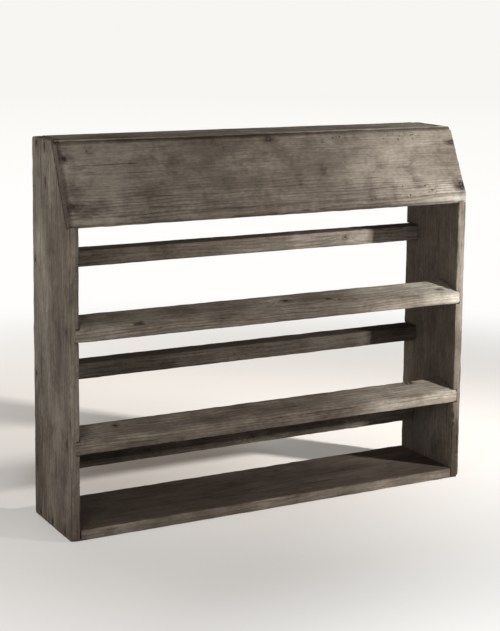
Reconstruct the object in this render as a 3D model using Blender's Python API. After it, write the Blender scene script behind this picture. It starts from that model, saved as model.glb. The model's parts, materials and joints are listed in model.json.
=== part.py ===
"""Open wooden rack: two upright sides, a top and a bottom board, a slanted fascia board
across the front, three square rails at the back and two bevelled rails at the front.

Everything is nailed. The rails' ends are let into housings cut half way into the sides.
Frame: X runs across the rack, the front faces -Y, +Z is up, and the origin is at the
middle of the rectangle that the rack stands on. Units are metres.
"""

import math

import bmesh
import bpy
from mathutils import Vector

# ---- Driving sizes ----
WIDTH = 0.762  # over the outer faces of the sides
DEPTH = 0.164  # front edge to back edge of a side
HEIGHT = 0.642  # floor to the top of the sides
SIDE_THICK = 0.018
BOTTOM_THICK = 0.020
TOP_THICK = 0.020

FASCIA_THICK = 0.020
FASCIA_DROP = 0.131  # from the rack's top to the fascia's lower front edge
FASCIA_SETBACK = 0.054  # how far the fascia's face leans back at the top
FASCIA_STRIP = 0.015  # height of the strip planed upright along its lower edge

FRONT_RAIL_DEPTH = 0.048
FRONT_RAIL_HEIGHT = 0.039  # at the rail's back
FRONT_RAIL_FACE = 0.024  # at the rail's front, where the bevel ends
BACK_RAIL_DEPTH = 0.039
BACK_RAIL_HEIGHT = 0.0295
HOUSING_DEPTH = 0.009  # how far a rail's end goes into a side

# Height of each rail's underside above the floor.
FRONT_RAIL_Z = {"lower": 0.142, "upper": 0.325}
BACK_RAIL_Z = {"lower": 0.078, "middle": 0.232, "upper": 0.423}

NAIL_LENGTH = 0.050
NAIL_HEAD_RADIUS = 0.0036
NAIL_HEAD_THICK = 0.0016
NAIL_CROWN = 0.0006  # how much the middle of the head stands above its rim
NAIL_SHANK = 0.0016  # half the width of the square shank under the head
NAIL_TIP = 0.0005  # half the width of the blunt tip
NAIL_SUNK = 0.0003  # the head's crown lies this far below the wood

GAP = 0.0003  # clearance kept between neighbouring pieces
EASING = 0.001  # width of the small chamfer on every outer arris
CUT_PAST = 0.002  # how far a cutter runs past the face it opens

# ---- Derived sizes ----
FRONT = -DEPTH / 2
BACK = DEPTH / 2
INNER = WIDTH / 2 - SIDE_THICK  # distance from the middle to a side's inner face
LEAN = math.atan2(FASCIA_SETBACK, FASCIA_DROP - FASCIA_STRIP)
UP_FACE = Vector((math.sin(LEAN), math.cos(LEAN)))  # up along the fascia, in Y and Z
INTO_FACE = Vector((math.cos(LEAN), -math.sin(LEAN)))  # square into the fascia
FOOT = Vector((FRONT, HEIGHT - FASCIA_DROP))  # the fascia's lower front edge
STRIP_TOP = FOOT + Vector((0, FASCIA_STRIP))


def seat_corner(gap):
    """The lower back corner of the fascia, or of its seat in a side when gap isn't 0."""
    run = FASCIA_THICK + gap - FASCIA_STRIP * math.sin(LEAN)
    return FOOT + INTO_FACE * run - UP_FACE * gap


def seat_y(z, gap):
    """Where the plane behind the fascia, or its seat, is at height z."""
    at_top = FRONT + FASCIA_SETBACK + (FASCIA_THICK + gap) / math.cos(LEAN)
    return at_top - (HEIGHT - z) * math.tan(LEAN)


# ---- Building ----


def clear_scene():
    for thing in list(bpy.data.objects):
        bpy.data.objects.remove(thing, do_unlink=True)


def add_object(name, bm, material=None):
    """Put a bmesh into the scene as an object, with its faces pointing out."""
    bmesh.ops.recalc_face_normals(bm, faces=bm.faces)
    mesh = bpy.data.meshes.new(name)
    bm.to_mesh(mesh)
    bm.free()
    thing = bpy.data.objects.new(name, mesh)
    bpy.context.collection.objects.link(thing)
    if material:
        mesh.materials.append(material)
    return thing


def finish(name, colour, roughness, metallic=0.0):
    material = bpy.data.materials.new(name)
    material.use_nodes = True
    shader = material.node_tree.nodes["Principled BSDF"]
    shader.inputs["Base Color"].default_value = (*colour, 1)
    shader.inputs["Roughness"].default_value = roughness
    shader.inputs["Metallic"].default_value = metallic
    return material


def prism(bm, section, x_from, x_to):
    """Extrude a section, given as (y, z) points, from x_from to x_to."""
    corners = [bm.verts.new((x_from, y, z)) for y, z in section]
    end = bm.faces.new(corners)
    grown = bmesh.ops.extrude_face_region(bm, geom=[end])["geom"]
    moved = [v for v in grown if isinstance(v, bmesh.types.BMVert)]
    bmesh.ops.translate(bm, vec=(x_to - x_from, 0, 0), verts=moved)


def ease_arrises(bm):
    """Take a small chamfer off every sharp outer edge. Inner corners stay sharp."""
    bmesh.ops.recalc_face_normals(bm, faces=bm.faces)
    sharp = [e for e in bm.edges if e.is_convex and e.calc_face_angle() > math.radians(35)]
    bmesh.ops.bevel(bm, geom=sharp, offset=EASING, segments=1, affect="EDGES")


def board(name, section, x_from, x_to, material):
    bm = bmesh.new()
    prism(bm, section, x_from, x_to)
    ease_arrises(bm)
    return add_object(name, bm, material)


def grow(section, gap):
    """Move every edge of a convex section outwards by gap. Its points run anticlockwise."""
    points = [Vector(p) for p in section]
    moved = []
    for i, here in enumerate(points):
        before = (here - points[i - 1]).normalized()
        after = (points[(i + 1) % len(points)] - here).normalized()
        out_before = Vector((before.y, -before.x))
        out_after = Vector((after.y, -after.x))
        bisector = (out_before + out_after).normalized()
        moved.append(here + bisector * gap / bisector.dot(out_before))
    return moved


def cut(target, cutter):
    modifier = target.modifiers.new(cutter.name, "BOOLEAN")
    modifier.operation = "DIFFERENCE"
    modifier.solver = "EXACT"
    modifier.object = cutter


def add_cutter(name, bm):
    cutter = add_object(name, bm)
    cutter.hide_render = True
    cutter.display_type = "WIRE"
    return cutter


# ---- Sections of the pieces, as (y, z) points running anticlockwise ----


def side_section():
    foot = (FRONT, FOOT.y - GAP / math.cos(LEAN))
    corner = seat_corner(GAP)
    return [(BACK, HEIGHT), (seat_y(HEIGHT, GAP), HEIGHT), corner, foot, (FRONT, 0), (BACK, 0)]


def fascia_section():
    face_top = (FRONT + FASCIA_SETBACK, HEIGHT)
    back_top = (seat_y(HEIGHT, 0), HEIGHT)
    return [back_top, face_top, STRIP_TOP, FOOT, seat_corner(0)]


def top_section():
    under = HEIGHT - TOP_THICK
    return [(BACK, HEIGHT), (seat_y(HEIGHT, GAP), HEIGHT), (seat_y(under, GAP), under), (BACK, under)]


def bottom_section():
    return [(BACK, BOTTOM_THICK), (FRONT, BOTTOM_THICK), (FRONT, 0), (BACK, 0)]


def front_rail_section(z):
    rear = FRONT + FRONT_RAIL_DEPTH
    return [(rear, z + FRONT_RAIL_HEIGHT), (FRONT, z + FRONT_RAIL_FACE), (FRONT, z), (rear, z)]


def back_rail_section(z):
    fore = BACK - BACK_RAIL_DEPTH
    return [(BACK, z + BACK_RAIL_HEIGHT), (fore, z + BACK_RAIL_HEIGHT), (fore, z), (BACK, z)]


# ---- Nails ----


def nail_rings(gap):
    """(depth, half width, square?) down a nail, or down its hole when gap isn't 0."""
    crown = NAIL_SUNK - (CUT_PAST if gap else 0)
    rim = NAIL_SUNK if gap else NAIL_SUNK + NAIL_CROWN
    under = NAIL_SUNK + NAIL_HEAD_THICK + gap
    crown_radius = NAIL_HEAD_RADIUS + gap if gap else NAIL_HEAD_RADIUS * 0.55
    return [
        (crown, crown_radius, False),
        (rim, NAIL_HEAD_RADIUS + gap, False),
        (under, NAIL_HEAD_RADIUS + gap, False),
        (under, NAIL_SHANK + gap, True),
        (NAIL_LENGTH * 0.7, NAIL_SHANK * 0.85 + gap, True),
        (NAIL_LENGTH + gap, NAIL_TIP + gap, True),
    ]


def add_nail(bm, point, direction, gap):
    """One nail, or its hole, with the middle of its head at point on the wood's face."""
    axis = Vector(direction).normalized()
    across = axis.cross(Vector((0, 0, 1))).normalized()
    along = axis.cross(across)
    sides = 8
    rings = []
    for depth, half, square in nail_rings(gap):
        ring = []
        for i in range(sides):
            turn = 2 * math.pi * i / sides
            c, s = math.cos(turn), math.sin(turn)
            reach = half / max(abs(c), abs(s)) if square else half
            ring.append(bm.verts.new(Vector(point) + axis * depth + (across * c + along * s) * reach))
        rings.append(ring)
    for upper, lower in zip(rings, rings[1:]):
        for i in range(sides):
            j = (i + 1) % sides
            bm.faces.new((upper[i], upper[j], lower[j], lower[i]))
    bm.faces.new(rings[0])
    bm.faces.new(reversed(rings[-1]))


def fascia_nails():
    """Two nails at each end into the edges of the sides, and a spare beside one of them.
    One more, driven level, holds the fascia to the front edge of the top board."""
    face_length = (FASCIA_DROP - FASCIA_STRIP) / math.cos(LEAN)
    in_side = WIDTH / 2 - SIDE_THICK / 2
    slant = (0, INTO_FACE.x, INTO_FACE.y)

    def on_face(x, up_from_top):
        y, z = STRIP_TOP + UP_FACE * (face_length - up_from_top)
        return (x, y, z)

    high, low, spare = 0.030, 0.109, 0.117
    level_point = on_face(0.0, 0.5 * TOP_THICK / math.cos(LEAN))
    return {
        "nail_fascia_left_high": (on_face(-in_side, high), slant),
        "nail_fascia_left_low": (on_face(-in_side, low), slant),
        "nail_fascia_right_high": (on_face(in_side, high), slant),
        "nail_fascia_right_low": (on_face(in_side, low), slant),
        "nail_fascia_right_spare": (on_face(in_side + 0.001, spare), slant),
        "nail_fascia_middle": (level_point, (0, 1, 0)),
    }


def side_nails():
    """Nails through the sides into the ends of every rail and board."""
    places = {}
    for level, z in FRONT_RAIL_Z.items():
        places[f"front_rail_{level}"] = (FRONT + FRONT_RAIL_DEPTH / 3, z + FRONT_RAIL_FACE * 0.7)
    for level, z in BACK_RAIL_Z.items():
        places[f"back_rail_{level}"] = (BACK - BACK_RAIL_DEPTH / 3, z + BACK_RAIL_HEIGHT / 2)
    top_z = HEIGHT - TOP_THICK / 2
    top_room = BACK - seat_y(HEIGHT, GAP)
    places["top_board_rear"] = (BACK - top_room * 0.25, top_z)
    places["top_board_fore"] = (BACK - top_room * 0.68, top_z)
    for name, share in (("fore", -0.33), ("middle", 0.0), ("rear", 0.33)):
        places[f"bottom_board_{name}"] = (DEPTH * share, BOTTOM_THICK / 2)
    nails = {}
    for hand, sign in (("left", -1), ("right", 1)):
        for place, (y, z) in places.items():
            nails[f"nail_{hand}_{place}"] = ((sign * WIDTH / 2, y, z), (-sign, 0, 0))
    return nails


# ---- The rack ----


def build():
    clear_scene()
    pine = finish("pine_sides", (0.21, 0.18, 0.155), 0.75)
    pine_fascia = finish("pine_fascia", (0.27, 0.235, 0.205), 0.7)
    pine_boards = finish("pine_boards", (0.19, 0.165, 0.145), 0.78)
    pine_rails = finish("pine_rails", (0.23, 0.2, 0.175), 0.75)
    iron = finish("rusty_iron", (0.045, 0.035, 0.03), 0.8, 0.6)

    left = board("side_left", side_section(), -WIDTH / 2, -INNER, pine)
    right = board("side_right", side_section(), INNER, WIDTH / 2, pine)
    between = INNER - GAP
    fascia = board("fascia_board", fascia_section(), -WIDTH / 2, WIDTH / 2, pine_fascia)
    top = board("top_board", top_section(), -between, between, pine_boards)
    bottom = board("bottom_board", bottom_section(), -between, between, pine_boards)

    rail_end = INNER + HOUSING_DEPTH - GAP
    sections = {f"front_rail_{level}": front_rail_section(z) for level, z in FRONT_RAIL_Z.items()}
    sections.update({f"back_rail_{level}": back_rail_section(z) for level, z in BACK_RAIL_Z.items()})
    rails = [board(name, s, -rail_end, rail_end, pine_rails) for name, s in sections.items()]

    housings = bmesh.new()
    for section in sections.values():
        prism(housings, grow(section, GAP), INNER - CUT_PAST, INNER + HOUSING_DEPTH)
        prism(housings, grow(section, GAP), -INNER + CUT_PAST, -INNER - HOUSING_DEPTH)
    housing_cutter = add_cutter("housing_cutter", housings)
    for side in (left, right):
        cut(side, housing_cutter)

    nails = {**fascia_nails(), **side_nails()}
    holes = bmesh.new()
    for name, (point, direction) in nails.items():
        nail = bmesh.new()
        add_nail(nail, point, direction, 0)
        add_object(name, nail, iron)
        add_nail(holes, point, direction, GAP)
    hole_cutter = add_cutter("nail_hole_cutter", holes)
    for piece in (left, right, fascia, top, bottom, *rails):
        cut(piece, hole_cutter)


build()
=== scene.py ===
"""An old open rack of nailed pine, with a slanted board across the top of its front,
three square rails at its back and two bevelled rails at its front."""

import json
import math
import random

import bmesh
import bpy
import numpy as np
from mathutils import Matrix, Vector

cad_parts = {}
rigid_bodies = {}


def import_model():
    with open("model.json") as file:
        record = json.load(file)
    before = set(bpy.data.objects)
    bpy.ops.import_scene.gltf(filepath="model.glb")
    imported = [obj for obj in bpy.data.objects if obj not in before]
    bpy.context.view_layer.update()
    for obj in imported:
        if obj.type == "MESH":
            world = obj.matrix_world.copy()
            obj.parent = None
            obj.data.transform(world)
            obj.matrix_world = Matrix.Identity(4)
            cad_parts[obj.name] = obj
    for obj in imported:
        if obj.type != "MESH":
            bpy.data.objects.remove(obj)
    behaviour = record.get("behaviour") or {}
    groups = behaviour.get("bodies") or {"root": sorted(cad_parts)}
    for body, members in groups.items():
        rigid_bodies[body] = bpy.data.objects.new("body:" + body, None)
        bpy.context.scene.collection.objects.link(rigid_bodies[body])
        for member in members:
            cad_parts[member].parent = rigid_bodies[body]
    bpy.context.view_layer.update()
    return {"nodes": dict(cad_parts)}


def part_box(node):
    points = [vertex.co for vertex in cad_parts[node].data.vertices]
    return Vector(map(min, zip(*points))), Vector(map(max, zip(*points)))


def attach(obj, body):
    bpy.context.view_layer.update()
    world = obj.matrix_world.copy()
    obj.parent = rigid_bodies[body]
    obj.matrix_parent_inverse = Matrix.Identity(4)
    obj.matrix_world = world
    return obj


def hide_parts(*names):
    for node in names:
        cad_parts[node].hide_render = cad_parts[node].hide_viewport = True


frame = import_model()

# ---- The two sides ----
# Upright boards of three-quarter-inch pine, sawn to length, their grain running up.
# Each is notched for the slanted board and housed for the ends of the five rails.

RAILS = ["front_rail_upper", "front_rail_lower"]
RAILS += ["back_rail_upper", "back_rail_middle", "back_rail_lower"]
ARRIS_ROUND = 0.0018
ARRIS_STEPS = 3
REAR_CORNER_CUT = 0.006
GRID_PITCH = 0.003
SAME_PLACE = 1e-5  # points closer than this are one point

# The slanted board, which the sides are notched for.
SLANT_DROP = 0.131  # from the top of the rack to the board's lower edge
SLANT_SETBACK = 0.054  # how far its face leans back at the top
SLANT_STRIP = 0.015  # an upright strip planed along its lower edge
SLANT_THICK = 0.020
rack_low, rack_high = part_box("side_left")[0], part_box("side_right")[1]
lean = math.atan2(SLANT_SETBACK, SLANT_DROP - SLANT_STRIP)
up_slant = Vector((math.sin(lean), math.cos(lean)))
into_slant = Vector((math.cos(lean), -math.sin(lean)))
slant_foot = Vector((rack_low.y, rack_high.z - SLANT_DROP))
slant_seat = slant_foot + into_slant * (SLANT_THICK - SLANT_STRIP * math.sin(lean))


def on_slant(x, z):
    """A place on the slanted board's face."""
    return Vector((x, slant_foot.x + (z - slant_foot.y - SLANT_STRIP) * math.tan(lean), z))


def select_only(piece):
    bpy.ops.object.select_all(action="DESELECT")
    bpy.context.view_layer.objects.active = piece
    piece.select_set(True)


def set_in_place(piece, name):
    """Name a piece and leave its object at the origin, unturned and unscaled."""
    piece.name = piece.data.name = name
    select_only(piece)
    bpy.ops.object.transform_apply(location=True, rotation=True, scale=True)
    return piece


def saw_blank(name, low, high):
    """A squared blank between two corners."""
    bpy.ops.object.select_all(action="DESELECT")
    bpy.ops.mesh.primitive_cube_add(size=1, location=(low + high) / 2, scale=high - low)
    return set_in_place(bpy.context.object, name)


def open_edit(piece, kind):
    """Open a piece for editing with nothing selected, and give its mesh."""
    select_only(piece)
    bpy.ops.object.mode_set(mode="EDIT")
    bpy.ops.mesh.select_mode(type=kind)
    bpy.ops.mesh.select_all(action="DESELECT")
    return bmesh.from_edit_mesh(piece.data)


def close_edit(piece):
    bpy.ops.object.mode_set(mode="OBJECT")
    return piece


def move_corner(piece, near, target):
    """Slide the long edge nearest to a place in the Y-Z section to another place in it."""
    mesh = open_edit(piece, "VERT")
    gap = {v: (Vector(v.co.yz) - Vector(near)).length for v in mesh.verts}
    nearest = min(mesh.verts, key=gap.get)
    shift = Vector(target) - Vector(nearest.co.yz)
    for v in mesh.verts:
        v.select_set(gap[v] < gap[nearest] + SAME_PLACE)
    mesh.select_flush_mode()
    bmesh.update_edit_mesh(piece.data)
    bpy.ops.transform.translate(value=(0, shift.x, shift.y))
    return close_edit(piece)


NEARLY_ALONG = 0.88  # the cosine of how far an edge may turn off a direction


def pick_edges(piece, direction, above, below):
    """Open a piece with its long edges in a direction, between two heights, selected, and
    give the longest's length."""
    mesh = open_edit(piece, "EDGE")
    way = Vector(direction).normalized()
    longest = 0
    for e in mesh.edges:
        along = e.verts[1].co - e.verts[0].co
        middle = (e.verts[1].co + e.verts[0].co) / 2
        straight = abs(along.normalized().dot(way)) > NEARLY_ALONG
        if straight and along.length > 2 * ARRIS_ROUND and above < middle.z <= below:
            e.select_set(True)
            longest = max(longest, along.length)
    bmesh.update_edit_mesh(piece.data)
    return longest


MOST_LENGTHS = 100  # the most that one subdivision makes of an edge


def divide(piece, direction, above=-1.0, below=1.0):
    """Cut every long edge that runs in a direction into lengths of about the pitch."""
    lengths = pick_edges(piece, direction, above, below) / GRID_PITCH
    rounds = math.ceil(lengths / MOST_LENGTHS)
    if rounds > 1:
        bpy.ops.mesh.subdivide(number_cuts=rounds - 1)
        close_edit(piece)
        pick_edges(piece, direction, above, below)
    if lengths > 1:
        bpy.ops.mesh.subdivide(number_cuts=max(1, round(lengths / rounds) - 1))
    return close_edit(piece)


def divide_ways(piece, axes):
    """Divide a squared piece along its axes, in the order of their letters."""
    for letter in axes:
        divide(piece, [float(letter == axis) for axis in "XYZ"])


SHARP_TURN = 15  # the least angle, in degrees, between the faces beside an arris


def round_arrises(piece, ends=True):
    """Round off the sharp edges, the ends' too or not, and give where they were."""
    mesh = open_edit(piece, "EDGE")
    arrises = []
    for e in mesh.edges:
        along = abs((e.verts[1].co - e.verts[0].co).normalized().x)
        if math.degrees(e.calc_face_angle()) > SHARP_TURN and (ends or along > NEARLY_ALONG):
            e.select_set(True)
            arrises.append((e.verts[0].co.copy(), e.verts[1].co.copy()))
    bmesh.update_edit_mesh(piece.data)
    bpy.ops.mesh.bevel(offset=ARRIS_ROUND, segments=ARRIS_STEPS, affect="EDGES")
    close_edit(piece)
    return arrises


def apply_modifiers(piece):
    bpy.context.view_layer.update()
    select_only(piece)
    for modifier in list(piece.modifiers):
        bpy.ops.object.modifier_apply(modifier=modifier.name)


def arris_distances(piece, arrises):
    """How far each point of a piece is from the nearest of its sharp edges."""
    points = np.empty(len(piece.data.vertices) * 3, np.float32)
    piece.data.vertices.foreach_get("co", points)
    points = points.reshape(-1, 3)
    nearest = np.full(len(points), 1.0, np.float32)
    for start, end in arrises:
        along = np.array(end - start, np.float32)
        away = points - np.array(start, np.float32)
        share = np.clip(away @ along / (along @ along), 0, 1)
        nearest = np.minimum(nearest, np.linalg.norm(away - share[:, None] * along, axis=1))
    return nearest


def press(piece, name, grain, size, stretch, depth, seed, group=""):
    """Push a surface in along its normals, by cloudy shapes drawn out along the grain.
    The seed says which part of the clouds is used."""
    clouds = bpy.data.textures.new(name, "CLOUDS")
    clouds.noise_scale = 1.0
    clouds.noise_depth = 2
    bpy.ops.object.empty_add(location=(seed * 0.37, seed * 0.73, seed * 0.51))
    guide = bpy.context.object
    guide.scale = [size * (stretch if axis == grain else 1) for axis in "XYZ"]
    modifier = piece.modifiers.new(name, "DISPLACE")
    modifier.texture = clouds
    modifier.texture_coords = "OBJECT"
    modifier.texture_coords_object = guide
    modifier.strength = depth
    modifier.mid_level = 1.0
    modifier.vertex_group = group
    apply_modifiers(piece)
    bpy.data.objects.remove(guide)


WORN_REACH = 0.006  # how far wear spreads from an arris


def weather(piece, arrises, grain, wear, seed):
    """Wear the arrises unevenly, and raise the grain of the faces."""
    worn = piece.vertex_groups.new(name="worn")
    for i, distance in enumerate(arris_distances(piece, arrises).tolist()):
        if distance < WORN_REACH:
            worn.add([i], 1 - distance / WORN_REACH, "REPLACE")
    press(piece, "raised_grain", grain, size=0.005, stretch=16, depth=0.0006, seed=seed)
    press(piece, "soft_hollows", grain, size=0.030, stretch=5, depth=0.0006, seed=seed + 1)
    press(piece, "worn_arris", grain, size=0.009, stretch=3, depth=wear, seed=seed + 2, group="worn")


def gouge(place, half_sizes, rough, seed):
    """A ragged lump that takes a chip, a dent or a crack out of the wood."""
    bpy.ops.object.select_all(action="DESELECT")
    bpy.ops.mesh.primitive_ico_sphere_add(subdivisions=3, radius=1)
    lump = bpy.context.object
    bpy.ops.object.mode_set(mode="EDIT")
    bpy.ops.transform.vertex_random(offset=rough, uniform=0, normal=0.5, seed=seed)
    bpy.ops.transform.resize(value=half_sizes, center_override=(0, 0, 0))
    close_edit(lump)
    lump.location = place
    return set_in_place(lump, "gouge")


def gouges(marks, seed):
    """A lump for each mark: where it is, its half sizes, and how ragged it is."""
    return [gouge(*mark, seed + i) for i, mark in enumerate(marks)]


def worm_hole(place, turn, radius):
    """A round flight hole a few millimetres deep."""
    bpy.ops.object.select_all(action="DESELECT")
    bpy.ops.mesh.primitive_cylinder_add(vertices=10, radius=radius, depth=0.010)
    hole = bpy.context.object
    hole.location, hole.rotation_euler = place, turn
    return set_in_place(hole, "worm_hole")


def node_copy(node):
    """A merged copy of a CAD node, to cut its bed out of another piece."""
    copy = bpy.data.objects.new("bed_" + node, frame["nodes"][node].data.copy())
    bpy.context.scene.collection.objects.link(copy)
    open_edit(copy, "VERT")
    bpy.ops.mesh.select_all(action="SELECT")
    bpy.ops.mesh.remove_doubles(threshold=SAME_PLACE)
    return close_edit(copy)


def nail_shape(name, head_radius, head_depth, shank, tip, length, sides, crown=0.0):
    """A nail, or its hole, standing on its point with the rim of its head at height 0."""
    bpy.ops.object.select_all(action="DESELECT")
    bpy.ops.mesh.primitive_cylinder_add(vertices=sides, radius=head_radius, depth=head_depth,
                                        location=(0, 0, -head_depth / 2))
    nail = set_in_place(bpy.context.object, name)
    below = ((shank, 0), (shank * 0.85, 0.6 * length), (tip, 0.4 * length))
    above = ((head_radius * 0.55, -crown),)
    for level, steps in ((-1, below), (1, above)):
        mesh = open_edit(nail, "FACE")
        for face in mesh.faces:
            face.select_set(face.normal.z * level > NEARLY_ALONG)
        bmesh.update_edit_mesh(nail.data)
        reach = head_radius
        for radius, fall in steps:
            bpy.ops.mesh.extrude_region_move(TRANSFORM_OT_translate={"value": (0, 0, -fall)})
            share = radius / reach
            bpy.ops.transform.resize(value=(share, share, 1), center_override=(0, 0, 0))
            reach = radius
        close_edit(nail)
    return nail


CAD_HEAD_RADIUS = 0.0036  # of the frame's own nails


def drive(pattern, node, sink, spin=0.0):
    """A copy of a nail, or of its hole, driven where a node's nail is, and the place on the
    wood where the middle of its head is."""
    low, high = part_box(node)
    x, y, z = ((a + b) / 2 for a, b in zip(low, high))
    if "fascia" not in node:
        sign = 1 if x > 0 else -1
        head = Vector((sign * rack_high.x, y, z))
        way = Vector((-sign, 0, 0))
    elif "middle" in node:
        head = on_slant(x, z)
        way = Vector((0, 1, 0))
    else:
        head = on_slant(x, high.z - CAD_HEAD_RADIUS * up_slant.y)
        way = Vector((0, into_slant.x, into_slant.y))
    turn = way.to_track_quat("-Z", "Y").to_matrix() @ Matrix.Rotation(spin, 3, "Z")
    copy = pattern.copy()
    copy.data = pattern.data.copy()
    bpy.context.scene.collection.objects.link(copy)
    copy.matrix_world = Matrix.Translation(head + way * sink) @ turn.to_4x4()
    return set_in_place(copy, node.replace("nail_", "rusty_nail_")), head


nail_hole = nail_shape("nail_hole", head_radius=0.0042, head_depth=0.0040, shank=0.0024, tip=0.0010,
                       length=0.0495, sides=12)
nail_heads = {}
HOLE_PROUD = 0.0015  # a hole's cutter stands this far out of the wood


def nail_holes(owners):
    """The holes of the nails that go through or into a piece."""
    holes = []
    for node in sorted(frame["nodes"]):
        if node.startswith("nail_") and any(owner in node for owner in owners):
            hole, nail_heads[node] = drive(nail_hole, node, -HOLE_PROUD)
            holes.append(hole)
    return holes


def cut_away(piece, cutters):
    """Cut a list of solids out of a piece, and throw the solids away."""
    shed = bpy.data.collections.new("cutters")
    bpy.context.scene.collection.children.link(shed)
    for cutter in cutters:
        for holder in list(cutter.users_collection):
            holder.objects.unlink(cutter)
        shed.objects.link(cutter)
    modifier = piece.modifiers.new("cut", "BOOLEAN")
    modifier.operation = "DIFFERENCE"
    modifier.solver = "MANIFOLD"
    modifier.operand_type = "COLLECTION"
    modifier.collection = shed
    apply_modifiers(piece)
    for cutter in list(shed.objects):
        bpy.data.objects.remove(cutter)
    bpy.data.collections.remove(shed)


SMOOTH_TURN = math.radians(40)


def finish_piece(piece, node, arrises, material):
    """Mark how near each point is to an arris, and put the piece in its node's place."""
    near = piece.data.attributes.new("arris", "FLOAT", "POINT")
    near.data.foreach_set("value", arris_distances(piece, arrises))
    select_only(piece)
    bpy.ops.object.shade_smooth_by_angle(angle=SMOOTH_TURN)
    piece.data.materials.clear()
    piece.data.materials.append(material)
    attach(piece, "root")
    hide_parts(node)


class Wire:
    """What comes out of a node. Sums on it add Math nodes to the same material."""

    def __init__(self, socket):
        self.socket = socket

    def node(self, kind, settings=None, inputs=None, out=0):
        """Add a node: its settings first, then the values or links of its sockets."""
        tree = self.socket.id_data
        made = tree.nodes.new(kind)
        for key, value in (settings or {}).items():
            if key == "stops":
                while len(made.color_ramp.elements) < len(value):
                    made.color_ramp.elements.new(0.5)
                for stop, (place, colour) in zip(made.color_ramp.elements, value):
                    stop.position, stop.color = place, (*colour, 1)
            else:
                setattr(made, key, value)
        for key, value in (inputs or {}).items():
            if isinstance(value, Wire):
                tree.links.new(value.socket, made.inputs[key])
            else:
                made.inputs[key].default_value = value
        return Wire(made.outputs[out])

    def math(self, operation, first, second):
        return self.node("ShaderNodeMath", {"operation": operation}, {0: first, 1: second})

    def __add__(self, other):
        return self.math("ADD", self, other)

    def __sub__(self, other):
        return self.math("SUBTRACT", self, other)

    def __rsub__(self, other):
        return self.math("SUBTRACT", other, self)

    def __mul__(self, other):
        return self.math("MULTIPLY", self, other)

    def __truediv__(self, other):
        return self.math("DIVIDE", self, other)

    def __rtruediv__(self, other):
        return self.math("DIVIDE", other, self)

    def __pow__(self, other):
        return self.math("POWER", self, other)

    __radd__ = __add__
    __rmul__ = __mul__

    def step(self, low, high):
        """0 below low and 1 above high, with a smooth change between them."""
        limits = {"Value": self, "From Min": low, "From Max": high}
        return self.node("ShaderNodeMapRange", {"interpolation_type": "SMOOTHSTEP"}, limits)

    def noise(self, stretch, detail=2.0, offset=0.0, roughness=0.5):
        """Cloudy noise, from 0 to 1, on this vector stretched by three factors."""
        moved = self.node("ShaderNodeVectorMath", {"operation": "MULTIPLY_ADD"},
                          {0: self, 1: stretch, 2: (offset, offset * 1.7, offset * 2.3)})
        return self.node("ShaderNodeTexNoise", {},
                         {"Vector": moved, "Scale": 1.0, "Detail": detail, "Roughness": roughness})


def axis_of(vector, letter):
    return vector.node("ShaderNodeSeparateXYZ", {}, {0: vector}, "XYZ".index(letter))


RING_WANDER = 0.030  # how far the growth rings wander
TONE_STOPS = (0.0, 0.38, 0.66, 1.0)
# The colour that grime and painted shade darken the wood towards.
GRIME_AND_SHADE = (0.028, 0.0185, 0.0138, 1)


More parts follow.
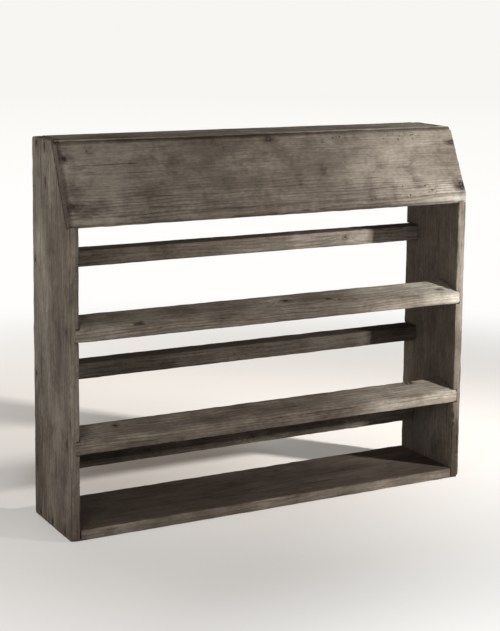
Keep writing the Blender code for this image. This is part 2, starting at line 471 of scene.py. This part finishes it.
def aged_pine(name, grain, pith, ring, tones, seed, level=0.5, late=0.30, streaks=0.30, fibres=0.42,
              blotches=0.75, smudges=0.15, dust_and_shade_up=0.0, side_grime_and_shade=None, knots=(), stains=(),
              shade=None, middle_darkening=0.11, rub=0.42):
    """Weathered pine: growth rings round a pith, fibres and checks along the grain, knots
    that the rings bend round, grime, and iron stains round the nails, with painted light and
    shade mixed into its tone and its grime."""
    material = bpy.data.materials.new(name)
    material.use_nodes = True
    tree = material.node_tree
    shader = tree.nodes["Principled BSDF"]
    place = Wire(tree.nodes.new("ShaderNodeTexCoord").outputs["Object"])
    normal = place.node("ShaderNodeNewGeometry", out="Normal")
    across = [letter for letter in "XYZ" if letter != grain]

    # Rings: distance from the pith, warped along the grain and bent round the knots.
    along = axis_of(place, grain)
    u, v = (axis_of(place, letter) for letter in across)
    run = [3.0 if letter == grain else 14.0 for letter in "XYZ"]
    warp = place.noise(run, 3, seed)
    warp_too = place.noise(run, 3, seed + 7)
    du = u + (warp - 0.5) * RING_WANDER - pith[0]
    dv = v + (warp_too - 0.5) * RING_WANDER - pith[1]
    reach = (du * du + dv * dv) ** 0.5
    heart = None
    for at, over, through, radius in knots:
        side = [letter for letter in across if letter != through][0]
        off = axis_of(place, side) - over
        from_knot = along - at
        spread = (from_knot * from_knot * 0.16 + off * off) / (radius * radius * 3)
        reach = reach + 2.2 * radius / (spread * spread + spread + 1)
        round_knot = ((from_knot * from_knot * 0.55 + off * off) ** 0.5) / radius
        core = round_knot + (warp - 0.5) * 1.2
        heart = core if heart is None else place.math("MINIMUM", heart, core)
    rings = reach / ring
    saw = place.math("FRACT", rings + (place.noise([a * 4 for a in run], 2, seed + 1) - 0.5) * 0.9, 0)
    latewood = (saw ** 3.5) * (1 - saw.step(0.90, 1.0))

    # Fibres, streaks, blotches and checks, all drawn out along the grain.
    def drawn(fine, long, detail, offset, roughness=0.5):
        """Noise with about this many waves in a metre across the grain and along it."""
        stretch = [long if axis == grain else fine for axis in "XYZ"]
        return place.noise(stretch, detail, seed + offset, roughness)

    fibre = drawn(520, 14, detail=2, offset=2)
    streak = drawn(150, 4, detail=3, offset=3, roughness=0.6)
    blotch = drawn(26, 9, detail=4, offset=4, roughness=0.6)
    cloud = drawn(9, 4, detail=2, offset=5)
    mottle = drawn(260, 120, detail=2, offset=6)
    check = drawn(330, 5, detail=1, offset=8).step(0.66, 0.72)
    check = check * drawn(30, 10, detail=1, offset=9).step(0.50, 0.60)
    smudge = drawn(30, 30, detail=4, offset=11, roughness=0.6).step(0.44, 0.80)

    # The tone is the sum of all these. Long pieces are darker about their middle.
    if callable(late):
        late = late(place)
    tone = (level + (fibre - 0.5) * fibres + (streak - 0.5) * streaks + (blotch - 0.5) * blotches
            + (cloud - 0.5) * blotches + (mottle - 0.5) * 0.30 - smudge * smudges
            - latewood * late * streak.step(0.34, 0.60))
    if grain == "X":
        middle = along + 0.03
        tone = tone - (1 - (middle * middle).step(0.004, 0.10)) * middle_darkening
    # A piece's shade function adds its own tone changes, painted light and shade among them.
    if shade:
        tone = tone + shade(place, normal)

    # Grime lies in the checks, on the worn arrises, in the knots and round the nails. On what
    # faces up it is dust and painted shade, on the sides' inner faces grime and painted shade,
    # and in the front rails' chipped pockets stain and painted shade.
    dirt_and_shade = check * 0.55
    # Dust and painted shade: faces that point up are darkened.
    if dust_and_shade_up:
        dirt_and_shade = dirt_and_shade + axis_of(normal, "Z").step(0.3, 0.9) * (dust_and_shade_up * (0.75 + 0.6 * blotch))
    # Grime and painted shade: the faces turned the given way along X, the sides' inner faces, are darkened
    # in streaks.
    if side_grime_and_shade:
        way, amount = side_grime_and_shade
        lines = streak.step(0.36, 0.64) * 0.8 + blotch.step(0.35, 0.65) * 0.7
        dirt_and_shade = dirt_and_shade + (axis_of(normal, "X") * way).step(0.3, 0.8) * (amount * (0.25 + lines))
    arris = place.node("ShaderNodeAttribute", {"attribute_name": "arris"}, out="Fac")
    rubbed = (1 - (arris + (blotch - 0.5) * 0.006).step(0.0008, 0.0042)) * rub
    dirt_and_shade = dirt_and_shade + rubbed
    if heart:
        outline = heart.step(0.80, 1.00) - heart.step(1.10, 1.40)
        dirt_and_shade = dirt_and_shade + (1 - heart.step(0.35, 0.85)) * 0.72 + outline * 0.30
    for spot, size, amount in stains:
        away = place.node("ShaderNodeVectorMath", {"operation": "SUBTRACT"}, {0: place, 1: spot})
        thin = tuple(0.45 if a == grain else 1.0 for a in "XYZ")
        flat = place.node("ShaderNodeVectorMath", {"operation": "MULTIPLY"}, {0: away, 1: thin})
        length = place.node("ShaderNodeVectorMath", {"operation": "LENGTH"}, {0: flat}, "Value")
        dirt_and_shade = dirt_and_shade + (1 - (length + (mottle - 0.5) * (size * 0.5)).step(size * 0.2, size)) * amount
    colour = place.node("ShaderNodeValToRGB", {"stops": list(zip(TONE_STOPS, tones))}, {0: tone})
    colour = place.node("ShaderNodeMix", {"data_type": "RGBA", "clamp_factor": True},
                        {0: dirt_and_shade, 6: colour, 7: GRIME_AND_SHADE}, 2)
    rough = 0.80 - latewood * 0.10 - rubbed * 0.25
    height = latewood * 0.35 + fibre * 0.5 + streak * 0.5 - check * 1.4
    bump = place.node("ShaderNodeBump", {}, {"Height": height, "Strength": 0.7, "Distance": 0.0012})
    for socket, wire in (("Base Color", colour), ("Roughness", rough), ("Normal", bump)):
        tree.links.new(wire.socket, shader.inputs[socket])
    shader.inputs["Specular IOR Level"].default_value = 0.08
    return material


# The wood's four tones, from its darkest to its palest.
PINE = [(0.034, 0.0245, 0.0180), (0.106, 0.0860, 0.0680), (0.206, 0.178, 0.144), (0.42, 0.393, 0.345)]

NOTCH_SPARE = Vector((0.01, 0.05, 0.02))  # the notch's blank stands this far out of the side
NOTCH_FORWARD, NOTCH_UP = 0.12, 0.2  # how far the notch runs forward and up from its seat

# Chips, dents and end checks.
side_marks = {
    "side_left": [
        ((-0.372, 0.083, 0.002), (0.012, 0.005, 0.006), 0.18),
        ((-0.381, 0.060, 0.000), (0.004, 0.020, 0.0025), 0.2),
        ((-0.377, -0.083, 0.000), (0.008, 0.006, 0.007), 0.18),
        ((-0.382, -0.083, 0.078), (0.0035, 0.0025, 0.006), 0.2),
        ((-0.382, -0.083, 0.060), (0.003, 0.0025, 0.004), 0.2),
        ((-0.3815, 0.019, 0.573), (0.0018, 0.0016, 0.011), 0.15),
        ((-0.3815, 0.082, 0.208), (0.003, 0.0035, 0.014), 0.2),
        ((-0.381, 0.040, 0.640), (0.003, 0.0005, 0.060), 0.05),
        ((-0.381, 0.013, 0.642), (0.004, 0.0006, 0.085), 0.05),
        ((-0.381, 0.065, 0.642), (0.003, 0.0005, 0.040), 0.05),
        ((-0.381, -0.030, 0.000), (0.003, 0.0005, 0.050), 0.05),
        ((-0.381, 0.048, 0.000), (0.003, 0.0006, 0.075), 0.05),
    ],
    "side_right": [
        ((0.3625, -0.0825, 0.118), (0.0048, 0.0048, 0.011), 0.25),
        ((0.3630, -0.0825, 0.102), (0.0042, 0.0040, 0.006), 0.25),
        ((0.3745, -0.0830, 0.062), (0.0013, 0.0060, 0.020), 0.1),
        ((0.3740, -0.0825, 0.0375), (0.0025, 0.0020, 0.0030), 0.2),
        ((0.3810, -0.0825, 0.000), (0.006, 0.006, 0.006), 0.2),
        ((0.3800, 0.0830, 0.000), (0.008, 0.006, 0.006), 0.2),
        ((0.3815, 0.0200, 0.642), (0.003, 0.0006, 0.070), 0.05),
        ((0.3815, 0.0500, 0.000), (0.003, 0.0005, 0.050), 0.05),
    ],
}


def side_shade(hand):
    """Painted shade and light on a side: its front edge darker, the right one most at its foot, and the
    left side darker low and paler high.
    """
    def shade(place, normal):
        height = axis_of(place, "Z")
        front = (0 - axis_of(normal, "Y")).step(0.3, 0.8)
        if hand == "left":
            return height.step(0.20, 0.50) * 0.10 - 0.05 - front * 0.05
        return front * (height.step(0.03, 0.22) * 0.62 - 0.56)
    return shade


for seed, node in enumerate(("side_left", "side_right")):
    low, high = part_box(node)
    side = saw_blank(node.replace("side", "upright"), low, high)
    mesh = open_edit(side, "EDGE")
    rear, top = high.y - SAME_PLACE, high.z - SAME_PLACE
    for e in mesh.edges:
        e.select_set(all(v.co.y > rear and v.co.z > top for v in e.verts))
    bmesh.update_edit_mesh(side.data)
    bpy.ops.mesh.bevel(offset=REAR_CORNER_CUT, segments=2, affect="EDGES")
    close_edit(side)
    arrises = round_arrises(side)
    divide_ways(side, "ZYX")
    weather(side, arrises, "Z", wear=0.0022, seed=11 + seed)
    blank_low = low - Vector((NOTCH_SPARE.x, NOTCH_SPARE.y, 0))
    blank_high = high + Vector((NOTCH_SPARE.x, 0, NOTCH_SPARE.z))
    notch = saw_blank("notch", blank_low, blank_high)
    ahead = slant_seat - into_slant * NOTCH_FORWARD
    for near, target in (
        ((blank_low.y, blank_low.z), ahead),
        ((blank_high.y, blank_low.z), slant_seat),
        ((blank_high.y, blank_high.z), slant_seat + up_slant * NOTCH_UP),
        ((blank_low.y, blank_high.z), ahead + up_slant * NOTCH_UP),
    ):
        move_corner(notch, near, target)
    cut_away(side, [node_copy(rail) for rail in RAILS] + [notch])
    hand = node.split("_")[1]
    cut_away(side, nail_holes([f"nail_{hand}", f"fascia_{hand}"]) + gouges(side_marks[node], 50))
    stains = [(spot, 0.010, 0.5) for nail, spot in nail_heads.items() if f"nail_{hand}" in nail]
    if hand == "left":
        stains += [
            (Vector((-0.381, 0.019, 0.573)), 0.0065, 0.7),
            (Vector((-0.381, 0.052, 0.628)), 0.0040, 0.5),
            (Vector((-0.381, 0.022, 0.626)), 0.0050, 0.5),
            (Vector((-0.381, -0.030, 0.480)), 0.0060, 0.25),
            (Vector((-0.381, 0.030, 0.300)), 0.0080, 0.25),
        ]
    way = 1 if hand == "left" else -1
    pine = aged_pine(f"side_pine_{hand}", "Z", pith=(-way * 0.42, 0.03 * way), ring=0.0042, tones=PINE,
                     seed=3.1 + seed * 5, level=0.47, late=0.20, streaks=0.30 + 0.25 * seed,
                     side_grime_and_shade=(way, 0.28), stains=stains, shade=side_shade(hand))
    finish_piece(side, node, arrises, pine)

# ---- The back rails ----
# Three square strips of pine across the back, with a few knots and worn edges. Their ends
# are let half way into the sides' housings, and a nail through each side holds them.

rail_marks = {
    "back_rail_upper": [((-0.012, 0.0425, 0.4232), (0.0035, 0.003, 0.0022), 0.2)],
    "back_rail_middle": [
        ((0.090, 0.0425, 0.2620), (0.016, 0.005, 0.0022), 0.2),
        ((0.115, 0.0425, 0.2622), (0.012, 0.004, 0.0018), 0.2),
        ((-0.012, 0.0425, 0.2430), (0.006, 0.0012, 0.0010), 0.2),
    ],
    "back_rail_lower": [((0.150, 0.0425, 0.0785), (0.010, 0.003, 0.0015), 0.2)],
}
rail_knots = {
    "back_rail_upper": [(0.205, 0.440, "Y", 0.0045)],
    "back_rail_middle": [(-0.020, 0.246, "Y", 0.005)],
    "back_rail_lower": [(-0.190, 0.094, "Y", 0.009), (0.020, 0.090, "Y", 0.007)],
}
rail_depths = {"back_rail_upper": 1.0, "back_rail_middle": 0.56, "back_rail_lower": 0.60}
rail_ends = {
    "back_rail_upper": (0.0, 0.0),
    "back_rail_middle": (-0.18, 0.0),
    "back_rail_lower": (-0.10, 0.26),
}


def end_shade(left, right):
    """A rail that is darker or lighter towards its two ends, as painted shade and painted light."""
    def shade(place, normal):
        along = axis_of(place, "X")
        return (1 - along.step(-0.36, -0.05)) * left + along.step(0.05, 0.36) * right
    return shade


for seed, node in enumerate(rail_depths):
    low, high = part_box(node)
    rail = saw_blank(node.replace("rail", "bar"), low, high)
    arrises = round_arrises(rail, ends=False)
    divide_ways(rail, "XZY")
    weather(rail, arrises, "X", wear=0.0020, seed=21 + seed)
    cut_away(rail, nail_holes([f"_{node}"]) + gouges(rail_marks[node], 70))
    tones = [tuple(c * rail_depths[node] for c in tone) for tone in PINE]
    pine = aged_pine(f"{node}_pine", "X", pith=(0.10, high.z + 0.02), ring=0.0040, tones=tones,
                     seed=17.3 + seed * 3, level=0.48, late=0.30, dust_and_shade_up=0.55,
                     knots=rail_knots[node], shade=end_shade(*rail_ends[node]))
    finish_piece(rail, node, arrises, pine)

# ---- The front rails ----
# Two heavier strips of pine across the front, planed to a bevel that falls towards the
# front. They too are housed in the sides and nailed, and hands have worn their edges.

BEVEL_SHARE = 24 / 39  # how much of the rail's height is left at its front
front_marks = {
    "front_rail_upper": [
        ((-0.2595, -0.0805, 0.3490), (0.0048, 0.0042, 0.0030), 0.3),
        ((-0.2540, -0.0770, 0.3515), (0.0030, 0.0050, 0.0016), 0.3),
        ((0.3355, -0.0690, 0.3535), (0.0090, 0.0020, 0.0028), 0.2),
        ((0.2000, -0.0340, 0.3640), (0.020, 0.0030, 0.0018), 0.2),
        ((-0.060, -0.0340, 0.3640), (0.030, 0.0030, 0.0014), 0.2),
    ],
    "front_rail_lower": [
        ((0.2880, -0.0370, 0.1805), (0.0030, 0.0110, 0.0058), 0.3),
        ((0.2975, -0.0380, 0.1800), (0.0028, 0.0120, 0.0050), 0.3),
        ((0.0300, -0.0825, 0.1420), (0.024, 0.0025, 0.0018), 0.2),
    ],
}
# Dark stains. Those in the chipped pockets, the first two on the upper rail and the first on the lower, are
# painted shade inside the pockets as well as stain.
front_stains_and_shade = {
    "front_rail_upper": [
        ((0.3355, -0.0690, 0.3530), 0.0070, 0.75),
        ((-0.2595, -0.0800, 0.3490), 0.0080, 0.75),
        ((0.0234, -0.0560, 0.3570), 0.0090, 0.40),
        ((0.1050, -0.0630, 0.3550), 0.0060, 0.40),
        ((-0.3000, -0.0700, 0.3520), 0.0140, 0.25),
    ],
    "front_rail_lower": [
        ((0.2920, -0.0420, 0.1785), 0.0100, 0.45),
        ((-0.1200, -0.0700, 0.1700), 0.0160, 0.20),
        ((0.1500, -0.0822, 0.1500), 0.0120, 0.30),
    ],
}
front_knots = {
    "front_rail_upper": [(0.0234, -0.056, "Z", 0.0060), (0.105, -0.063, "Z", 0.0045)],
    "front_rail_lower": [(-0.290, -0.050, "Z", 0.0050)],
}
inner_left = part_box("bottom_board")[0].x  # just clear of the left side


def front_shade(right, face):
    """Painted light and shade on a front rail: a painted pool of light at its right end, painted light on
    its bevel, painted shade on its face towards the left, and a painted shadow of the left side in its
    bevel's left corner.
    """
    def shade(place, normal):
        along = axis_of(place, "X")
        bevel = axis_of(normal, "Z").step(0.2, 0.6)
        corner = (axis_of(place, "Y") - rack_low.y) * 0.24 - (along - inner_left)
        # A painted shadow of the left side: a dark wedge on the bevel's left end.
        left_side_shadow = corner.step(-0.001, 0.002) * bevel * 0.5
        left_face = (1 - bevel) * (1 - along.step(0.0, 0.22)) * face
        return along.step(0.08, 0.37) * right + bevel * 0.06 - left_face - left_side_shadow
    return shade


front_looks = {
    "front_rail_upper": {"level": 0.51, "dust_and_shade_up": 0.04, "shade": front_shade(right=0.32, face=0.13)},
    "front_rail_lower": {"level": 0.47, "dust_and_shade_up": 0.20, "shade": front_shade(right=0.10, face=0.07)},
}
for seed, node in enumerate(front_marks):
    low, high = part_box(node)
    rail = saw_blank(node.replace("rail", "bar"), low, high)
    move_corner(rail, (low.y, high.z), (low.y, low.z + (high.z - low.z) * BEVEL_SHARE))
    arrises = round_arrises(rail, ends=False)
    divide_ways(rail, "XZY")
    weather(rail, arrises, "X", wear=0.0024, seed=31 + seed)
    cut_away(rail, nail_holes([f"_{node}"]) + gouges(front_marks[node], 80))
    pine = aged_pine(f"{node}_pine", "X", pith=(-0.02, high.z + 0.09), ring=0.0044, tones=PINE,
                     seed=27.9 + seed * 3, late=0.36, streaks=0.40, middle_darkening=0.07,
                     knots=front_knots[node], stains=front_stains_and_shade[node], **front_looks[node])
    finish_piece(rail, node, arrises, pine)

# ---- The bottom and top boards ----
# Two planed pine boards between the sides, held by nails through the sides. The top one
# is narrower, flush with the sides' tops, and its front edge is planed to the slant.

board_marks = {
    "bottom_board": [
        ((0.2700, 0.0830, 0.0200), (0.0080, 0.0035, 0.0030), 0.25),
        ((-0.150, -0.0825, 0.0205), (0.018, 0.0025, 0.0018), 0.2),
    ],
    "top_board": [((0.050, 0.0825, 0.6420), (0.030, 0.0025, 0.0018), 0.2)],
}
board_knots = {"bottom_board": [(0.069, 0.047, "Z", 0.0065)], "top_board": [(0.120, 0.040, "Z", 0.009)]}
board_looks = {
    "bottom_board": {"level": 0.42, "dust_and_shade_up": 0.52},
    "top_board": {"level": 0.80, "dust_and_shade_up": 0.0},
}
for seed, node in enumerate(board_marks):
    low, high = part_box(node)
    board = saw_blank(node.replace("board", "plank"), low, high)
    if node == "top_board":
        slant_y = low.y + (high.z - low.z) * math.tan(lean)
        move_corner(board, (low.y, high.z), (slant_y, high.z))
    arrises = round_arrises(board, ends=False)
    divide_ways(board, "XZY")
    weather(board, arrises, "X", wear=0.0020, seed=41 + seed)
    owners = [f"_{node}"] + (["fascia_middle"] if node == "top_board" else [])
    cut_away(board, nail_holes(owners) + gouges(board_marks[node], 90))
    pine = aged_pine(f"{node}_pine", "X", pith=(0.01, low.z - 0.05), ring=0.0048, tones=PINE,
                     seed=37.7 + seed * 3, late=0.25, knots=board_knots[node], **board_looks[node])
    finish_piece(board, node, arrises, pine)

# ---- The slanted board ----
# A wide planed pine board across the top of the front, nailed to the sides and to the top
# board. Its lower edge is planed upright, and its arrises are worn round.

low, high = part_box("fascia_board")
slanted = saw_blank("slanted_board", low, high)
mesh = open_edit(slanted, "EDGE")
for e in mesh.edges:
    e.select_set(abs((e.verts[1].co - e.verts[0].co).z) > SAME_PLACE)
bmesh.update_edit_mesh(slanted.data)
bpy.ops.mesh.subdivide(number_cuts=1)
close_edit(slanted)
middle_z = (low.z + high.z) / 2
strip_top = slant_foot + Vector((0, SLANT_STRIP))
face_top = Vector((slant_foot.x + SLANT_SETBACK, high.z))
for near, target in (
    ((low.y, high.z), face_top),
    ((high.y, high.z), face_top + Vector((SLANT_THICK / math.cos(lean), 0))),
    ((low.y, middle_z), strip_top),
    ((high.y, middle_z), strip_top + into_slant * SLANT_THICK),
    ((low.y, low.z), slant_foot),
    ((high.y, low.z), slant_seat),
):
    move_corner(slanted, near, target)
arrises = round_arrises(slanted)
divide(slanted, (1, 0, 0))
divide(slanted, (0, *up_slant), above=strip_top.y)
divide(slanted, (0, *up_slant), below=strip_top.y)
divide(slanted, (0, *into_slant))
weather(slanted, arrises, "X", wear=0.0026, seed=51)
cutters = nail_holes(["fascia"])

# Worm holes lie in loose patches: each patch's left, right, foot and top, and its count.
face_turn = (math.radians(90) - lean, 0, 0)
drill = random.Random(4)
for x_from, x_to, z_from, z_to, count in (
    (0.095, 0.145, 0.622, 0.634, 8),
    (0.225, 0.300, 0.622, 0.636, 16),
    (0.180, 0.345, 0.524, 0.545, 14),
    (-0.332, -0.326, 0.622, 0.628, 1),
):
    for _ in range(count):
        spot = on_slant(drill.uniform(x_from, x_to), drill.uniform(z_from, z_to))
        cutters.append(worm_hole(spot, face_turn, drill.uniform(0.0008, 0.0014)))

# Two chipped corners, dents along the edges, and a worm's run laid open near the foot.
slant_marks = [
    ((low.x, face_top.x, high.z), (0.007, 0.006, 0.006), 0.2),
    ((high.x, face_top.x, high.z), (0.009, 0.007, 0.008), 0.2),
    (on_slant(-0.200, 0.642), (0.040, 0.003, 0.0022), 0.2),
    (on_slant(0.150, 0.642), (0.050, 0.003, 0.0022), 0.2),
    ((-0.120, -0.0825, 0.511), (0.020, 0.003, 0.0020), 0.2),
    ((0.240, -0.0825, 0.511), (0.026, 0.003, 0.0016), 0.2),
    (on_slant(0.298, 0.5325), (0.0050, 0.0022, 0.0016), 0.2),
    (on_slant(0.306, 0.5350), (0.0048, 0.0022, 0.0018), 0.2),
    (on_slant(0.314, 0.5328), (0.0050, 0.0022, 0.0016), 0.2),
    (on_slant(0.323, 0.5362), (0.0055, 0.0022, 0.0018), 0.2),
    (on_slant(0.333, 0.5345), (0.0050, 0.0022, 0.0016), 0.2),
]
cut_away(slanted, cutters + gouges(slant_marks, 100))


def fascia_late(place):
    """Its growth rings show as fine dark lines in its lower third, and hardly above it."""
    return 0.40 - axis_of(place, "Z").step(0.545, 0.585) * 0.34


def fascia_shade(place, normal):
    """Its top edge is paler, and it is dark under the top arris and at the left end. Its lower right part
    is lighter, as a painted pool of light.
    """
    top = axis_of(normal, "Z").step(0.85, 0.95)
    along = axis_of(place, "X")
    under_arris = axis_of(place, "Z").step(0.6335, 0.6385) * (1 - top) * 0.30
    left_end = (0 - along).step(0.3715, 0.3790) * 0.30
    # A painted pool of light on the lower right part.
    lit_low_right = along.step(0.20, 0.37) * (1 - axis_of(place, "Z").step(0.53, 0.58)) * 0.30
    return top * 0.44 + lit_low_right - along.step(0.25, 0.34) * 0.03 - under_arris - left_end


stains = [(spot, 0.011, 0.65) for nail, spot in nail_heads.items() if "fascia" in nail]
for x, z, size, amount in (
    (-0.351, 0.600, 0.009, 0.35),
    (-0.352, 0.532, 0.015, 0.45),
    (-0.325, 0.540, 0.017, 0.40),
    (-0.244, 0.606, 0.017, 0.28),
    (-0.172, 0.597, 0.019, 0.26),
    (-0.237, 0.556, 0.018, 0.18),
    (-0.135, 0.541, 0.020, 0.22),
    (-0.083, 0.525, 0.016, 0.30),
    (0.030, 0.606, 0.024, 0.16),
):
    stains.append((on_slant(x, z), size, amount))
pine = aged_pine("slanted_board_pine", "X", pith=(-0.16, 0.47), ring=0.0046, tones=PINE, seed=61.3,
                 level=0.585, late=fascia_late, streaks=0.16, fibres=0.28, blotches=0.50,
                 smudges=0.22, stains=stains, shade=fascia_shade, middle_darkening=0.17, rub=0.55)
finish_piece(slanted, "fascia_board", arrises, pine)

# ---- The nails ----
# Forged iron nails with round, slightly crowned heads, rusted brown. They are driven about
# flush through the sides and the slanted board, each turned its own way.

bpy.data.objects.remove(nail_hole)
NAIL_SINK = 0.0008
nail = nail_shape("nail", head_radius=0.0035, head_depth=0.0015, shank=0.0015, tip=0.0005,
                  length=0.0470, sides=12, crown=0.0004)
select_only(nail)
bevel = nail.modifiers.new("soft_edges", "BEVEL")
bevel.width, bevel.segments = 0.0003, 2
apply_modifiers(nail)

rust = bpy.data.materials.new("rusted_iron")
rust.use_nodes = True
rust_shader = rust.node_tree.nodes["Principled BSDF"]
place = Wire(rust.node_tree.nodes.new("ShaderNodeTexCoord").outputs["Object"])
scale = place.noise((420, 420, 420), 4, 2.0)
pits = place.noise((1100, 1100, 1100), 3, 5.0)
stops = [(0.30, (0.010, 0.008, 0.007)), (0.55, (0.030, 0.021, 0.016)), (0.78, (0.075, 0.046, 0.030))]
rust_looks = {
    "Base Color": place.node("ShaderNodeValToRGB", {"stops": stops}, {0: scale}),
    "Roughness": 0.62 + pits * 0.3,
    "Metallic": scale.step(0.62, 0.30) * 0.5,
    "Normal": place.node("ShaderNodeBump", {},
                         {"Height": scale + pits * 0.5, "Strength": 0.8, "Distance": 0.0004}),
}
for socket, wire in rust_looks.items():
    rust.node_tree.links.new(wire.socket, rust_shader.inputs[socket])

turner = random.Random(8)
for node in sorted(n for n in frame["nodes"] if n.startswith("nail_")):
    driven, _ = drive(nail, node, NAIL_SINK, turner.uniform(0, 6.28))
    driven.data.materials.append(rust)
    select_only(driven)
    bpy.ops.object.shade_smooth_by_angle(angle=SMOOTH_TURN)
    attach(driven, "root")
    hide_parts(node)
bpy.data.objects.remove(nail)

# ---- Floor, lamps and camera ----
# A pale paper floor that runs off to a glowing white, one narrow lamp at the front right,
# weaker ones at the left, above and behind, and a long lens from the front left.

FLOOR_WIDTH = 80
BACKDROP = (0.930, 0.922, 0.888)
PAPER = (0.83, 0.780, 0.725, 1)
FILL = (1.0, 0.99, 0.97)
bpy.ops.object.select_all(action="DESELECT")
bpy.ops.mesh.primitive_plane_add(size=FLOOR_WIDTH)
floor = bpy.context.object
floor.name = "pale_floor"
paper = bpy.data.materials.new("pale_paper")
paper.use_nodes = True
paper_shader = paper.node_tree.nodes["Principled BSDF"]
paper_shader.inputs["Base Color"].default_value = PAPER
paper_shader.inputs["Roughness"].default_value = 0.9
paper_shader.inputs["Specular IOR Level"].default_value = 0.1
place = Wire(paper.node_tree.nodes.new("ShaderNodeTexCoord").outputs["Object"])
from_rack = place.node("ShaderNodeVectorMath", {"operation": "DISTANCE"},
                       {0: place, 1: (0.15, 0.28, 0.0)}, "Value")
FADE = 12  # the metres from the rack that the glow's colours are spread over
far = place.node("ShaderNodeValToRGB", {"stops": [(0.3, FILL), (0.9, BACKDROP)]}, {0: from_rack / FADE})
glow = place.node("ShaderNodeEmission", {}, {"Color": far, "Strength": 1.0})

# The paper glows more with distance and to the right, and not at all close behind the rack.
# The glow is painted light and shade: a painted shadow near and behind the rack, a painted
# pool of light to the right, and far off an even white.
lit_to_the_right = axis_of(place, "X") * 0.6 - axis_of(place, "Y") * 0.8
along, back = axis_of(place, "X") + 0.10, axis_of(place, "Y") - 0.22
# Painted shadow: an oval close behind the rack gets no glow.
shadow_behind_rack = (along * along * 15 + back * back * 39).step(0.2, 1.3)
share = (0.15 + from_rack.step(0.28, 0.55) * 0.13 + from_rack.step(0.5, 1.5) * 0.72) * shadow_behind_rack
share = share + lit_to_the_right.step(0.10, 0.55) * 0.34
blend = place.node("ShaderNodeMixShader", {}, {0: share, 1: Wire(paper_shader.outputs[0]), 2: glow})
paper.node_tree.links.new(blend.socket, paper.node_tree.nodes["Material Output"].inputs["Surface"])
floor.data.materials.append(paper)

world = bpy.data.worlds.new("studio")
world.use_nodes = True
fill = world.node_tree.nodes["Background"]
fill.inputs["Color"].default_value = (*FILL, 1)
fill.inputs["Strength"].default_value = 0.10
lit = Wire(fill.outputs[0])
wall = lit.node("ShaderNodeBackground", {}, {"Color": (*BACKDROP, 1), "Strength": 1.0})
seen = lit.node("ShaderNodeLightPath", out="Is Camera Ray")
both = lit.node("ShaderNodeMixShader", {}, {0: seen, 1: lit, 2: wall})
world.node_tree.links.new(both.socket, world.node_tree.nodes["World Output"].inputs["Surface"])
bpy.context.scene.world = world
bpy.context.scene.view_settings.view_transform = "Standard"


def lamp(name, aim, bearing, rise, distance, size, power, spread=180, colour=(1, 1, 1)):
    """A square studio lamp that faces a place. Bearing 0 is straight in front of it."""
    b, r = math.radians(bearing), math.radians(rise)
    way = Vector((math.sin(b) * math.cos(r), -math.cos(b) * math.cos(r), math.sin(r)))
    bpy.ops.object.light_add(type="AREA", location=Vector(aim) + distance * way)
    light = bpy.context.object
    light.name = name
    light.data.energy = power
    light.data.size = size
    light.data.color = colour
    light.data.spread = math.radians(spread)
    light.rotation_euler = (-way).to_track_quat("-Z", "Y").to_euler()


lamp("key_lamp", (0.720, -0.082, 0.34), bearing=34, rise=17, distance=2.5, size=0.20, power=11.1, spread=36)
lamp("front_left_lamp", (-0.381, -0.080, 0.40), bearing=-42, rise=15, distance=0.9, size=0.30, power=1.6,
     spread=110)
lamp("left_lamp", (-0.300, -0.080, 0.30), bearing=-75, rise=15, distance=1.3, size=0.8, power=3.2)
lamp("top_lamp", (0.100, -0.080, 0.30), bearing=20, rise=65, distance=1.5, size=1.0, power=2.0,
     colour=(1.0, 0.93, 0.84))
lamp("back_lamp", (0.0, 0.08, 0.30), bearing=190, rise=35, distance=1.6, size=1.2, power=4.0,
     colour=(1.0, 0.84, 0.70))

CAMERA_PLACE = (-1.2444, -2.2550, 0.8667)
CAMERA_TURNS = (-28.574, -8.259, -0.596)  # degrees round to the left, up, and over
bpy.ops.object.camera_add(location=CAMERA_PLACE)
camera = bpy.context.object
yaw, pitch, roll = (math.radians(turn) for turn in CAMERA_TURNS)
turn = Matrix.Rotation(yaw, 3, "Z") @ Matrix.Rotation(pitch, 3, "X") @ Matrix.Rotation(roll, 3, "Y")
camera.rotation_euler = (turn @ Matrix.Rotation(math.radians(90), 3, "X")).to_euler()
camera.data.lens = 86.34
camera.data.shift_y = -0.1545
bpy.context.scene.camera = camera
